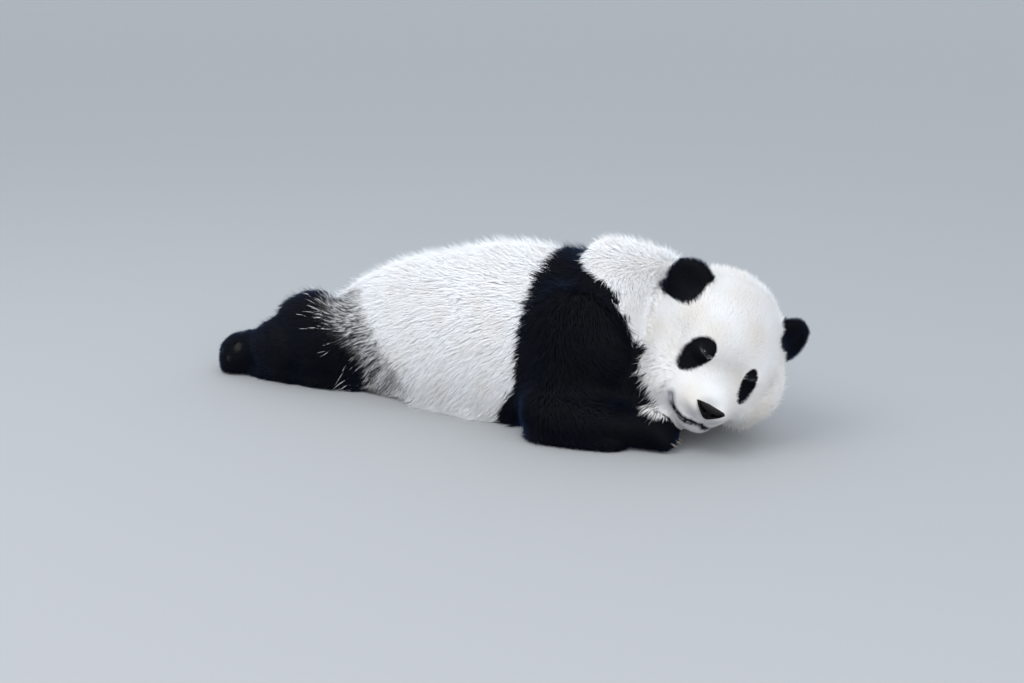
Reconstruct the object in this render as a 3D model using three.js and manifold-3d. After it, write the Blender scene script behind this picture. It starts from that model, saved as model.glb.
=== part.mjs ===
// Giant panda cub, about one year old, asleep on its belly with its head turned to the right.
// Millimetres, +Z up. The spine runs along X with the head at +X, and the floor is z = 0.
// Each part is a closed form out to the tips of the coat. Where two parts meet, one is
// cut away by the other with a thin gap, and everything is cut flat where it rests.

import * as THREE from "three";
import { mergeVertices } from "three/addons/utils/BufferGeometryUtils.js";
import Module from "manifold-3d";

const wasm = await Module();
wasm.setup();

// ---------------------------------------------------------------- driving dimensions

const GAP = 0.3; // between parts that touch
const FLOOR_REACH = 3000; // side of the block that cuts the flats
const MIDDLE = { x: 100.1, y: 8 }; // middle of the whole length and width, from a point under the loins

// Trunk, from the rump to the shoulders: [x, height of middle, half length, half width, half height]
const TRUNK = {
  rump: [-192, 70, 140, 150, 152],
  belly: [-40, 108, 205, 172, 182],
  ribs: [130, 124, 205, 176, 212],
  shoulders: [280, 138, 150, 156, 213],
};
const TRUNK_BLEND = 60;

// Neck: a thick, fluffy roll that swings towards the left, where the back of the head is.
const NECK = {
  nape: { at: [380, 14, 180], half: [122, 134, 190] },
  scruff: { at: [456, 66, 178], half: [102, 110, 166] },
  throat: { at: [444, -40, 92], half: [86, 78, 94] },
  blend: 50,
};

// Head: middle of the skull and its turn in degrees: to the right, nose down, left ear down.
const HEAD = { at: [603, 14, 155], yaw: -58.1, pitch: 2.2, roll: -29.6 };
const SKULL = { at: [-28, -19, 44], half: [122, 127, 128] };
const BROW = { at: [42, 0, 44], half: [68, 88, 66] };
const CHEEK = {
  right: { at: [14, 55, -57], half: [86, 70, 92] },
  left: { at: [6, 69, -13], half: [88, 77, 86] },
};
const MUZZLE = { at: [92, 3, -56], half: [60, 54, 45] };
const JAW = { at: [66, 0, -96], half: [62, 46, 30] };
const HEAD_BLEND = 34;
const EYE = { out: 100, side: 57, up: 29, radius: 13, proud: 2.5 };
const NOSE = { at: [146, 0, -48], half: [15, 27, 13], tip: { at: [144, 0, -61], half: [13, 14, 12] } };
const EAR = {
  right: [4, 128, 111],
  left: [-16, 107, 103],
  half: [20, 54, 50],
  swing: 38,
  lean: 36,
  dish: { at: [28, 0, 6], half: [21, 36, 32] },
};

// Legs: joints as [x, out from the spine, height], and the thickness of each length.
const FORELEG = {
  right: {
    shoulder: [352, 99, 180],
    elbow: [345, 158, 56],
    wrist: [455, 142, 44],
    paw: [528, 100, 38],
  },
  left: {
    shoulder: [325, 104, 186],
    elbow: [335, 172, 56],
    wrist: [462, 166, 44],
    paw: [548, 132, 38],
  },
};
const UPPER_ARM = { shoulder: [126, 76, 128], thick: 70, thin: 46 };
const FOREARM = { thick: 68, thin: 50 };
const HIND = {
  right: {
    haunch: [-290, 98, 88],
    knee: [-362, 120, 70],
    ankle: [-422, 134, 56],
    toes: [-486, 144, 42],
  },
  left: {
    haunch: [-280, 100, 66],
    knee: [-352, 128, 62],
    ankle: [-412, 150, 54],
    toes: [-474, 168, 42],
  },
};
const THIGH = { half: [140, 88, 114] };
const SHANK = { inside: 50, thick: 83, thin: 60 };
// A forepaw lies sole down, a hind foot sole up, and claws curve to the side of the sole.
const PAW = { half: 42, thickness: 34, toe: { radius: 16, spread: 19, reach: 32, height: 20 }, droop: 10 };
const FOOT = { half: 51, thickness: 38, toe: { radius: 17, spread: 20, reach: 32, height: 22 }, droop: -8 };
const CLAW = { long: 30, base: 4.8 };
const TAIL = { root: [-300, 0, 118], end: [-372, 0, 52], thick: 40, thin: 28 };

// Half sizes of the balls from which the long parts are moulded, and how finely each ball is cut.
const BLANK = {
  trunk: [380, 170, 150],
  forearm: [130, 60, 60],
  shank: [110, 62, 62],
  paw: 60,
  tail: [60, 40, 60],
};
const DETAIL = { head: 6, trunk: 5, neck: 3, paw: 3, jaw: 2, ear: 2, limb: 2, nose: 1, eye: 1, tail: 1 };
const TRUNK_MIDDLE = [30, 0, 150];
const CLAW_SIDES = 5;
const NOSE_BLEND = 10;
const LEG_BLEND = 40;
const TOE_BLEND = 18;
const TOE_CURVE = 3; // how far the outer toes stand back, for each step from the middle toe, squared

const COAT_WHITE = "#e9ebe9";
const COAT_BLACK = "#17181c";
const NOSE_LEATHER = "#1d1b1e";
const EYE_BROWN = "#241a14";
const HORN = "#8d8378";
const ROUGH = 0.85;
const SMOOTH = 0.35;
const WET = 0.12;

// ---------------------------------------------------------------- forms
// A form is a function of a point that gives its distance in mm from the surface, under 0 inside.

function ball(middle, half) {
  const [mx, my, mz] = middle;
  const [hx, hy, hz] = half;
  return (p) => {
    const x = (p.x - mx) / hx;
    const y = (p.y - my) / hy;
    const z = (p.z - mz) / hz;
    const reach = Math.hypot(x, y, z);
    const slope = Math.hypot(x / hx, y / hy, z / hz);
    return slope < 1e-9 ? -Math.min(hx, hy, hz) : (reach * (reach - 1)) / slope;
  };
}

// A rod with round ends that tapers from one end to the other.
function rod(from, to, thick, thin) {
  const start = new THREE.Vector3(...from);
  const along = new THREE.Vector3(...to).sub(start);
  const length2 = along.lengthSq();
  const offset = new THREE.Vector3();
  return (p) => {
    offset.copy(p).sub(start);
    const t = THREE.MathUtils.clamp(offset.dot(along) / length2, 0, 1);
    offset.addScaledVector(along, -t);
    return offset.length() - THREE.MathUtils.lerp(thick, thin, t);
  };
}

// Several forms that flow into each other over a distance.
function flow(distance, ...forms) {
  return (p) =>
    forms.map((form) => form(p)).reduce((a, b) => {
      const h = Math.max(distance - Math.abs(a - b), 0) / distance;
      return Math.min(a, b) - (h * h * distance) / 4;
    });
}

// ---------------------------------------------------------------- meshes and solids

function bare(geometry) {
  geometry.deleteAttribute("normal");
  geometry.deleteAttribute("uv");
  return mergeVertices(geometry, 1e-5);
}

// How far the form reaches from a point inside it in one direction.
function reachOf(form, middle, way, step, grow) {
  const p = new THREE.Vector3();
  const at = (t) => form(p.copy(middle).addScaledVector(way, t)) - grow;
  let near = 0;
  while (at(near + step) < 0) near += step;
  let far = near + step;
  for (let round = 0; round < 16; round += 1) {
    const half = (near + far) / 2;
    if (at(half) < 0) near = half;
    else far = half;
  }
  return near;
}

// A ball whose points are pushed out, or drawn in, to the surface of a form.
function mould(form, middle, half, ball, grow) {
  const geometry = bare(ball);
  const points = geometry.attributes.position;
  const centre = new THREE.Vector3(...middle);
  const way = new THREE.Vector3();
  const step = Math.min(...half) / 6;
  for (let i = 0; i < points.count; i += 1) {
    way.fromBufferAttribute(points, i).multiply(new THREE.Vector3(...half)).normalize();
    const reach = reachOf(form, centre, way, step, grow);
    way.multiplyScalar(reach).add(centre);
    points.setXYZ(i, way.x, way.y, way.z);
  }
  return geometry;
}

function toSolid(geometry) {
  const vertProperties = new Float32Array(geometry.attributes.position.array);
  const triVerts = new Uint32Array(geometry.index.array);
  return new wasm.Manifold(new wasm.Mesh({ numProp: 3, vertProperties, triVerts }));
}

function toGeometry(solid) {
  const { vertProperties, triVerts, numProp } = solid.getMesh();
  const points = new Float32Array((vertProperties.length / numProp) * 3);
  for (let i = 0; i * numProp < vertProperties.length; i += 1) {
    points.set(vertProperties.subarray(i * numProp, i * numProp + 3), i * 3);
  }
  const geometry = new THREE.BufferGeometry();
  geometry.setAttribute("position", new THREE.BufferAttribute(points, 3));
  geometry.setIndex(new THREE.BufferAttribute(new Uint32Array(triVerts), 1));
  geometry.computeVertexNormals();
  return geometry;
}

const round = (detail) => new THREE.IcosahedronGeometry(1, detail);

// ---------------------------------------------------------------- the parts

const parts = [];

// A part's shape is a function of how far it is grown, so that it can cut its neighbours.
function addPart(name, colour, roughness, shape) {
  parts.push({ name, colour, roughness, shape });
}

// A part moulded in its own frame and then put in its place.
function moulded(form, middle, half, detail, place = new THREE.Matrix4()) {
  return (grow) => mould(form, middle, half, round(detail), grow).applyMatrix4(place);
}

function turn({ roll = 0, pitch = 0, yaw = 0 }, at) {
  const [x, y, z] = [roll, pitch, yaw].map(THREE.MathUtils.degToRad);
  return new THREE.Matrix4().makeRotationFromEuler(new THREE.Euler(x, y, z, "ZYX")).setPosition(...at);
}

// The head's own frame: x to the nose, y to the left ear, z to the crown.
const headPlace = turn(HEAD, HEAD.at);

const SIDES = { right: -1, left: 1 };
const beside = (sign, [x, out, z]) => [x, sign * out, z];
const sided = (joints, sign) =>
  Object.fromEntries(Object.entries(joints).map(([joint, at]) => [joint, beside(sign, at)]));

const cheeks = Object.entries(SIDES).map(([side, sign]) =>
  ball(beside(sign, CHEEK[side].at), CHEEK[side].half),
);
const muzzle = ball(MUZZLE.at, MUZZLE.half);
const jaw = ball(JAW.at, JAW.half);
const face = flow(
  HEAD_BLEND,
  ball(SKULL.at, SKULL.half),
  ball(BROW.at, BROW.half),
  ...cheeks,
  muzzle,
);

function addEye(side, sign) {
  const way = new THREE.Vector3(EYE.out, sign * EYE.side, EYE.up).normalize();
  const depth = reachOf(face, new THREE.Vector3(), way, 4, 0) - EYE.radius + EYE.proud;
  const middle = way.multiplyScalar(depth).toArray();
  const half = [EYE.radius, EYE.radius, EYE.radius];
  addPart(`eye_${side}`, EYE_BROWN, WET, moulded(ball(middle, half), middle, half, DETAIL.eye, headPlace));
}

// A cupped ear is a thick round leaf, swung outwards, leaning away from the crown and dished.
function addEar(side, sign) {
  const place = turn({ roll: -sign * EAR.lean, yaw: sign * EAR.swing }, beside(sign, EAR[side]));
  const leaf = ball([0, 0, 0], EAR.half);
  const dish = ball(EAR.dish.at, EAR.dish.half);
  const form = (p) => Math.max(leaf(p), -dish(p));
  const behindDish = [-EAR.half[0] / 2, 0, 0];
  const onHead = headPlace.clone().multiply(place);
  addPart(`ear_${side}`, COAT_BLACK, ROUGH, moulded(form, behindDish, EAR.half, DETAIL.ear, onHead));
}

// Toes fan out in front of a paw, and each carries one claw.
function addPaw(name, from, to, { half, thickness, toe, droop }) {
  const ahead = new THREE.Vector3(...to).sub(new THREE.Vector3(...from)).setZ(0).normalize();
  const across = new THREE.Vector3(ahead.y, -ahead.x, 0);
  const toes = [];
  for (let place = -2; place <= 2; place += 1) {
    const knuckle = new THREE.Vector3(...to)
      .addScaledVector(ahead, toe.reach - TOE_CURVE * place * place)
      .addScaledVector(across, place * toe.spread)
      .setZ(toe.height);
    toes.push(ball(knuckle.toArray(), [toe.radius, toe.radius, toe.radius]));
    const stand = new THREE.Matrix4().makeBasis(across, ahead, new THREE.Vector3(0, 0, 1));
    stand.setPosition(knuckle);
    const shape = (grow) => claw(droop, grow).applyMatrix4(stand);
    addPart(`${name}_claw_${place + 3}`, HORN, SMOOTH, shape);
  }
  const wide = half * 1.15;
  const form = flow(TOE_BLEND, ball(to, [wide, wide, thickness]), rod(from, to, half, half), ...toes);
  addPart(name, COAT_BLACK, ROUGH, moulded(form, to, [BLANK.paw, BLANK.paw, thickness], DETAIL.paw));
}

// A claw is a cone along y that curves down, or up where its droop is under 0, towards its tip.
function claw(droop, grow) {
  const cone = new THREE.ConeGeometry(CLAW.base + grow, CLAW.long + 2 * grow, CLAW_SIDES, 2);
  cone.translate(0, CLAW.long / 2, 0);
  const geometry = bare(cone);
  const points = geometry.attributes.position;
  for (let i = 0; i < points.count; i += 1) {
    const t = points.getY(i) / CLAW.long;
    points.setZ(i, points.getZ(i) - droop * t * t);
  }
  return geometry;
}

const between = (from, to) => from.map((v, i) => (v + to[i]) / 2);

function addForeleg(side, sign) {
  const { shoulder, elbow, wrist, paw } = sided(FORELEG[side], sign);
  addPaw(`forepaw_${side}`, wrist, paw, PAW);
  const forearm = rod(elbow, wrist, FOREARM.thick, FOREARM.thin);
  const halfway = between(elbow, wrist);
  addPart(`forearm_${side}`, COAT_BLACK, ROUGH, moulded(forearm, halfway, BLANK.forearm, DETAIL.limb));
  const upper = flow(
    LEG_BLEND,
    ball(shoulder, UPPER_ARM.shoulder),
    rod(shoulder, elbow, UPPER_ARM.thick, UPPER_ARM.thin),
  );
  const upperArm = moulded(upper, shoulder, UPPER_ARM.shoulder, DETAIL.limb);
  addPart(`upper_foreleg_${side}`, COAT_BLACK, ROUGH, upperArm);
}

function addHindLeg(side, sign) {
  const { haunch, knee, ankle, toes } = sided(HIND[side], sign);
  addPaw(`hind_foot_${side}`, ankle, toes, FOOT);
  const shank = rod(knee, ankle, SHANK.thick, SHANK.thin);
  const halfway = between(knee, ankle);
  addPart(`shank_${side}`, COAT_BLACK, ROUGH, moulded(shank, halfway, BLANK.shank, DETAIL.limb));
  const thigh = flow(LEG_BLEND, ball(haunch, THIGH.half), rod(haunch, knee, SHANK.inside, SHANK.inside));
  addPart(`thigh_${side}`, COAT_BLACK, ROUGH, moulded(thigh, haunch, THIGH.half, DETAIL.limb));
}

const nose = flow(NOSE_BLEND, ball(NOSE.at, NOSE.half), ball(NOSE.tip.at, NOSE.tip.half));
const neck = flow(
  NECK.blend,
  ...[NECK.nape, NECK.scruff, NECK.throat].map(({ at, half }) => ball(at, half)),
);
const trunk = flow(
  TRUNK_BLEND,
  ...Object.values(TRUNK).map(([x, z, long, wide, high]) => ball([x, 0, z], [long, wide, high])),
);
const tail = rod(TAIL.root, TAIL.end, TAIL.thick, TAIL.thin);
const inBothSides = (add) => Object.entries(SIDES).forEach(([side, sign]) => add(side, sign));

// Parts added earlier keep their shape, and later ones are cut to fit round them.
addPart("nose", NOSE_LEATHER, SMOOTH, moulded(nose, NOSE.at, NOSE.half, DETAIL.nose, headPlace));
inBothSides(addEye);
addPart("head", COAT_WHITE, ROUGH, moulded(face, [0, 0, 0], [1, 1, 1], DETAIL.head, headPlace));
addPart("lower_jaw", COAT_WHITE, ROUGH, moulded(jaw, JAW.at, JAW.half, DETAIL.jaw, headPlace));
inBothSides(addEar);
addPart("trunk", COAT_WHITE, ROUGH, moulded(trunk, TRUNK_MIDDLE, BLANK.trunk, DETAIL.trunk));
addPart("neck", COAT_WHITE, ROUGH, moulded(neck, NECK.nape.at, NECK.nape.half, DETAIL.neck));
addPart("tail", COAT_WHITE, ROUGH, moulded(tail, between(TAIL.root, TAIL.end), BLANK.tail, DETAIL.tail));
inBothSides(addForeleg);
inBothSides(addHindLeg);

// ---------------------------------------------------------------- cutting and placing

const floor = new THREE.BoxGeometry(FLOOR_REACH, FLOOR_REACH, FLOOR_REACH);
floor.translate(0, 0, FLOOR_REACH / 2);
const aboveFloor = toSolid(bare(floor));

const figure = new THREE.Group();
figure.position.set(-MIDDLE.x, -MIDDLE.y, 0);

const cutters = [];
for (const { name, colour, roughness, shape } of parts) {
  let solid = toSolid(shape(0)).intersect(aboveFloor);
  for (const cutter of cutters) solid = solid.subtract(cutter);
  cutters.push(toSolid(shape(GAP)));
  const geometry = toGeometry(solid);
  geometry.computeBoundingSphere();
  const middle = geometry.boundingSphere.center.clone();
  geometry.translate(-middle.x, -middle.y, -middle.z);
  const material = new THREE.MeshStandardMaterial({ color: colour, roughness, metalness: 0 });
  const mesh = new THREE.Mesh(geometry, material);
  mesh.name = name;
  mesh.position.copy(middle);
  figure.add(mesh);
}

export default figure;
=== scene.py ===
import math

import bmesh
import bpy
import numpy as np
from mathutils import Matrix, Vector
from mathutils.bvhtree import BVHTree
from mathutils.kdtree import KDTree


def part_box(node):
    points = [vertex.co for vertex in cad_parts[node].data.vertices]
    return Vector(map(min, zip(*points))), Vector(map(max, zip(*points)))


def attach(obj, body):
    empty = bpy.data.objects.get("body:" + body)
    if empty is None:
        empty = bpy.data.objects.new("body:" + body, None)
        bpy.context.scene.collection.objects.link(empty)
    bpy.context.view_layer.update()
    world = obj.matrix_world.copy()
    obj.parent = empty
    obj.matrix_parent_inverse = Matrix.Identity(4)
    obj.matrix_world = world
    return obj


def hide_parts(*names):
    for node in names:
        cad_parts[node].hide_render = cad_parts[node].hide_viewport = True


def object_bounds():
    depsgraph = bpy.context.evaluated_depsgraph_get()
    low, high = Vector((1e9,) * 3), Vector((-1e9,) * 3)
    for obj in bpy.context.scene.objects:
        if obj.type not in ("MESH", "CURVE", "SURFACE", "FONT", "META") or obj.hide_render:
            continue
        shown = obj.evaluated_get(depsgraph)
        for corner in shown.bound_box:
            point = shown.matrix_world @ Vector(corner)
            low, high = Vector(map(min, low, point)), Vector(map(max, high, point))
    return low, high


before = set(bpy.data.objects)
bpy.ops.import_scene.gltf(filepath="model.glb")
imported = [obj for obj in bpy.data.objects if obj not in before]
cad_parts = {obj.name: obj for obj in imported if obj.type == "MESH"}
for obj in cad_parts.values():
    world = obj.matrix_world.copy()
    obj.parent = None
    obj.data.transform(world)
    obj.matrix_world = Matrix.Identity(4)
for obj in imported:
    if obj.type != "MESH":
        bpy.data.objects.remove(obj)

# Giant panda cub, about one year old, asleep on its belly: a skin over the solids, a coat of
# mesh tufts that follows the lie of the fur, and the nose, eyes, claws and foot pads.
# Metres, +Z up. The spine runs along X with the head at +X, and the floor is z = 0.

CAD_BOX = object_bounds()
MM = 0.001
SEED = 11
chance = np.random.default_rng(SEED)

# ---------------------------------------------------------------- places on the animal

SPINE_Y = -8 * MM
# The head's middle and its turn, which are those of the head's solid.
HEAD_AT = np.array([502.9, 6.0, 155.0]) * MM
HEAD_YAW, HEAD_PITCH, HEAD_ROLL = (math.radians(a) for a in (-58.1, 2.2, -29.6))
HEAD_TURN = np.array(
    Matrix.Rotation(HEAD_YAW, 3, "Z")
    @ Matrix.Rotation(HEAD_PITCH, 3, "Y")
    @ Matrix.Rotation(HEAD_ROLL, 3, "X")
)

# Places in the head's own frame, in mm: x to the nose, y to the left ear, z to the crown.
NOSE_TIP = np.array([150, 2, -55])
EYE_RADIUS = 13
LID = 1.0
EYES = {
    "right": {"middle": (90, -51, 26), "outer": (92, -68, 36), "inner": (106, -39, 23)},
    "left": {"middle": (87, 50, 25), "outer": (89, 66, 35), "inner": (103, 38, 22)},
}
# Eye patches: an egg round each eye, its long axis running down and outwards.
PATCHES = {
    "right": {"middle": (-64, 16), "half": (43, 23.5), "tilt": 22},
    "left": {"middle": (55, 9), "half": (38, 14.8), "tilt": -12},
}
PATCH_EGG = 0.2  # how much wider a patch is at its upper end than in its middle
# Black fur round the root of each ear, as middle and half widths across and up the face.
EAR_ROOTS = (((-153, 118), (50, 50)), ((126, 116), (45, 34)))
# The mouth from its right corner, below the nose, to its left one. The muzzle sags to the left.
MOUTH = np.array(
    [
        (98, -60, -73), (99, -54, -82), (99, -48, -89), (100, -40, -95), (106, -30, -98),
        (115, -18, -99), (126, -6, -93), (129, 8, -89), (118, 20, -93), (112, 34, -96),
        (104, 47, -93), (98, 60, -82),
    ],
    float,
)
# The line from the nose down to the mouth.
CLEFT = np.array([(146, 6, -68), (137, 8, -77), (129, 8, -88)], float)
NOSE_AT = np.array([143, 4, -52])


def on_head(points):
    """Points of the row frame in the head's own frame, in mm."""
    return (points - HEAD_AT) @ HEAD_TURN / MM


def from_head(points):
    return HEAD_AT + (np.asarray(points, float) * MM) @ HEAD_TURN.T


def along_head(directions):
    """Directions of the head's own frame in the row frame."""
    return np.asarray(directions, float) @ HEAD_TURN.T


# ---------------------------------------------------------------- small maths on arrays


def unit(vectors):
    return vectors / np.maximum(np.linalg.norm(vectors, axis=-1, keepdims=True), 1e-12)


def dot(a, b):
    return (a * b).sum(-1, keepdims=True)


def flat(vectors, normals):
    """The part of each vector that lies in the skin."""
    return vectors - dot(vectors, normals) * normals


def rise(low, high, values):
    """0 below low, 1 above high and a smooth step between them."""
    t = np.clip((values - low) / (high - low), 0, 1)
    return t * t * (3 - 2 * t)


def ripple(points, size, seed):
    """Smooth noise of about -1 to 1, whose bumps are about size metres across."""
    waves = np.random.default_rng(seed)
    ways = unit(waves.normal(size=(7, 3))) * 2 * math.pi / size
    ways *= waves.uniform(0.6, 1.5, (7, 1))
    return np.sin(points @ ways.T + waves.uniform(0, 2 * math.pi, 7)).sum(1) / 3


def near_line(points, line):
    """Distance from each point to a line of straight lengths."""
    best = np.full(len(points), np.inf)
    for start, end in zip(line[:-1], line[1:]):
        way = end - start
        t = np.clip((points - start) @ way / (way @ way), 0, 1)
        best = np.minimum(best, np.linalg.norm(points - start - t[:, None] * way, axis=1))
    return best


# ---------------------------------------------------------------- meshes


def arrays(mesh):
    """Vertices, triangles and edges of a mesh of triangles."""
    points = np.empty(len(mesh.vertices) * 3)
    mesh.vertices.foreach_get("co", points)
    triangles = np.empty(len(mesh.polygons) * 3, int)
    mesh.loops.foreach_get("vertex_index", triangles)
    edges = np.empty(len(mesh.edges) * 2, int)
    mesh.edges.foreach_get("vertices", edges)
    return points.reshape(-1, 3), triangles.reshape(-1, 3), edges.reshape(-1, 2)


def normals_of(points, triangles):
    a, b, c = (points[triangles[:, i]] for i in range(3))
    faces = np.cross(b - a, c - a)
    total = np.zeros_like(points)
    for axis in range(3):
        for corner in range(3):
            total[:, axis] += np.bincount(triangles[:, corner], faces[:, axis], len(points))
    return unit(total)


def blur(values, edges, rounds, share=0.6):
    """Moves each vertex's value towards the mean of its neighbours' values."""
    values = np.array(values, float)
    ends = np.concatenate([edges[:, 0], edges[:, 1]])
    others = np.concatenate([edges[:, 1], edges[:, 0]])
    count = np.maximum(np.bincount(ends, minlength=len(values)), 1)
    columns = values.reshape(len(values), -1)
    for _ in range(rounds):
        for i in range(columns.shape[1]):
            mean = np.bincount(ends, columns[others, i], len(values)) / count
            columns[:, i] += share * (mean - columns[:, i])
    return columns.reshape(values.shape)


def rounded(points, triangles, edges, rounds):
    """Wears off the facets, and gives back what that has worn off the whole."""
    soft = blur(points, edges, rounds)
    normals = normals_of(soft, triangles)
    worn = np.maximum(dot(points - soft, normals), 0)
    return soft + normals * blur(worn, edges, 2 * rounds)


def add_piece(name, mesh):
    piece = bpy.data.objects.new(name, mesh)
    bpy.context.scene.collection.objects.link(piece)
    return piece


def triangle_mesh(name, points, triangles):
    mesh = bpy.data.meshes.new(name)
    mesh.vertices.add(len(points))
    mesh.vertices.foreach_set("co", np.ascontiguousarray(points, np.float32).ravel())
    mesh.loops.add(len(triangles) * 3)
    mesh.loops.foreach_set("vertex_index", np.ascontiguousarray(triangles, np.int32).ravel())
    mesh.polygons.add(len(triangles))
    mesh.polygons.foreach_set("loop_start", np.arange(0, len(triangles) * 3, 3, dtype=np.int32))
    mesh.polygons.foreach_set("use_smooth", np.ones(len(triangles), bool))
    mesh.update(calc_edges=True)
    return mesh


def remeshed(mesh, voxel):
    """The outer surface of everything in a mesh, as even triangles."""
    piece = add_piece("remesh", mesh)
    change = piece.modifiers.new("remesh", "REMESH")
    change.mode = "VOXEL"
    change.voxel_size = voxel
    piece.modifiers.new("triangles", "TRIANGULATE")
    done = piece.evaluated_get(bpy.context.evaluated_depsgraph_get())
    result = bpy.data.meshes.new_from_object(done)
    bpy.data.objects.remove(piece)
    return result


def write_value(mesh, name, values):
    """A number at each vertex, for the materials to read."""
    mesh.attributes.new(name, "FLOAT", "POINT").data.foreach_set("value", values.astype(np.float32))


def nearest_on(points, triangles, places):
    """The nearest point of a surface to each place."""
    tree = BVHTree.FromPolygons([Vector(p) for p in points], triangles.tolist())
    return np.array([tree.find_nearest(Vector(place))[0] for place in places])


def middle_of(node):
    low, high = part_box(node)
    return np.array((low + high) / 2)


# ---------------------------------------------------------------- the coat's measures

# For each part: length and width of a tuft in mm, how far its root and its tip lean from
# upright in degrees, and how many tufts lie over each other.
COAT = {
    "trunk": (42, 1.25, 45, 76, 3.6),
    "neck": (32, 1.15, 50, 77, 3.9),
    "head": (16, 1.1, 42, 68, 4.1),
    "lower_jaw": (8, 0.9, 45, 66, 4),
    "tail": (28, 1.5, 40, 70, 4),
    "ear": (11, 1.1, 22, 44, 4.5),
    "upper_foreleg": (38, 1.3, 38, 70, 3.55),
    "forearm": (27, 1.4, 42, 72, 3.9),
    "forepaw": (13, 1.2, 48, 72, 4),
    "thigh": (38, 1.3, 38, 72, 3.45),
    "shank": (26, 1.4, 42, 72, 3.9),
    "hind_foot": (14, 1.3, 48, 72, 4),
}
LENGTH, WIDTH, ROOT_LEAN, TIP_LEAN, LAYERS = range(5)
# On the head, length of the face's tufts and the muzzle's in mm, what is added to the face's
# elsewhere, and the widths that go with lengths.
FACE_TUFT, MUZZLE_TUFT = 14, 4.5
MORE = {"cheek": 17, "beard": 18, "side": 9, "back": 10, "lids": -7.5}
HEAD_WIDTHS = ((4, 8, 16, 30), (0.7, 0.9, 1.15, 1.2))
PARTS = list(COAT)
HEAD = PARTS.index("head")
JAW = PARTS.index("lower_jaw")
EAR = PARTS.index("ear")
# Depth of the skin, as a share of the height at which the tufts stand.
SUNK = {"ear": 0.6}
USUAL_SUNK = 0.85
# How far each solid is grown before they are joined, in mm. Big ones fill the folds between them.
GROWN = {
    "trunk": 12, "neck": 12, "upper_foreleg": 12, "forearm": 12, "forepaw": 4,
    "thigh": 12, "shank": 12, "hind_foot": 6,
}
LEAST_GROWN = 1.5
# Parts that would wear away if they were rounded as much as the others.
THIN = [PARTS.index(part) for part in ("ear", "lower_jaw", "forepaw", "tail")]


def part_of(node):
    return PARTS.index(next(part for part in PARTS if node.startswith(part)))


def of_head(parts):
    """True for the head with its lower jaw."""
    return (parts == HEAD) | (parts == JAW)


def gap_to_eyes(local):
    gaps = [np.linalg.norm(local - np.array(eye["middle"]), axis=1) for eye in EYES.values()]
    return np.minimum(*gaps)


def cheek_share(local):
    """1 on the ruff of the cheeks, 0 on the face and the crown."""
    low, aside = rise(-5, -70, local[:, 2]), rise(25, 75, np.abs(local[:, 1]))
    return low * aside * rise(105, 70, local[:, 0])


def beside_face(local):
    """1 on the sides of the head from the ear down, 0 on the face."""
    return rise(72, 104, np.abs(local[:, 1])) * rise(70, 20, local[:, 2])


def beard_share(local):
    """1 on the long wisps at the lower edge of the right cheek."""
    return rise(-72, -104, local[:, 2]) * rise(-28, -55, local[:, 1])


def head_lengths(local):
    """Length of the tufts on the head in mm: velvet on the muzzle, long on the cheeks."""
    back = rise(20, -60, local[:, 0])
    eyes = rise(48, 22, gap_to_eyes(local))
    cheek = MORE["cheek"] * cheek_share(local) + MORE["beard"] * beard_share(local)
    ruff = np.maximum(cheek, MORE["side"] * beside_face(local))
    length = FACE_TUFT + ruff + MORE["back"] * back + MORE["lids"] * eyes
    muzzle = rise(95, 35, np.linalg.norm(local - NOSE_TIP, axis=1))
    lips = rise(32, 10, near_line(local, MOUTH))
    return length + (MUZZLE_TUFT - length) * np.maximum(muzzle, 0.85 * lips)


# Where along a tuft, back from its root in mm, the colours of its surroundings are looked up.
TUFT_STEPS = (5, -8, -22, -38)


def mixed_colours(points):
    """1 where the black and the white of the body meet, 0 away from there."""
    steps = [body_black(points + np.array([step, 0, 0.3 * step]) * MM) for step in TUFT_STEPS]
    share = np.mean(steps, axis=0)
    return rise(0, 0.35, share) * rise(0.99, 0.8, share)


def grizzled(points):
    """1 where black and white hairs mix before the haunch, as finer and shorter tufts."""
    return mixed_colours(points) * rise(-60 * MM, -140 * MM, points[:, 0])


def coat_table(points, parts, edges):
    """Length, width, both leans and layers of the coat at each vertex of the skin."""
    table = np.array([COAT[part] for part in PARTS], float)[parts]
    border, fine = mixed_colours(points), grizzled(points)
    table[:, LENGTH] *= 1 - 0.25 * border
    table[:, WIDTH] *= 1 - 0.15 * border - 0.45 * fine
    table[:, LAYERS] *= 1 - 0.35 * fine
    head = parts == HEAD
    local = on_head(points[head])
    length = head_lengths(local)
    table[head, LENGTH] = length
    table[head, WIDTH] = np.interp(length, *HEAD_WIDTHS)
    table[head, LAYERS] *= 1 + 0.7 * beard_share(local)
    return blur(table, edges, 12)


def standing(table):
    """Height of the tips over the skin in mm."""
    leans = np.radians(table[:, [ROOT_LEAN, TIP_LEAN]])
    return table[:, LENGTH] * np.cos(leans).mean(1)


# ---------------------------------------------------------------- the skin

WELD = 1e-6
# Size of the skin's triangles, on the face, at the nose, mouth and pads, and at the eyes.
SKIN_GRAIN, FACE_GRAIN, FEATURE_GRAIN, EYE_GRAIN = 5 * MM, 3 * MM, 1.8 * MM, 1.0 * MM
LOWEST_SKIN = 4 * MM  # over the floor, so that the coat has room under it
PAD_HEIGHT = 3 * MM
FLESH = [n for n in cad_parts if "claw" not in n and not n.startswith(("nose", "eye"))]


def grown_by(part):
    return GROWN.get(part, LEAST_GROWN)


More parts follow.
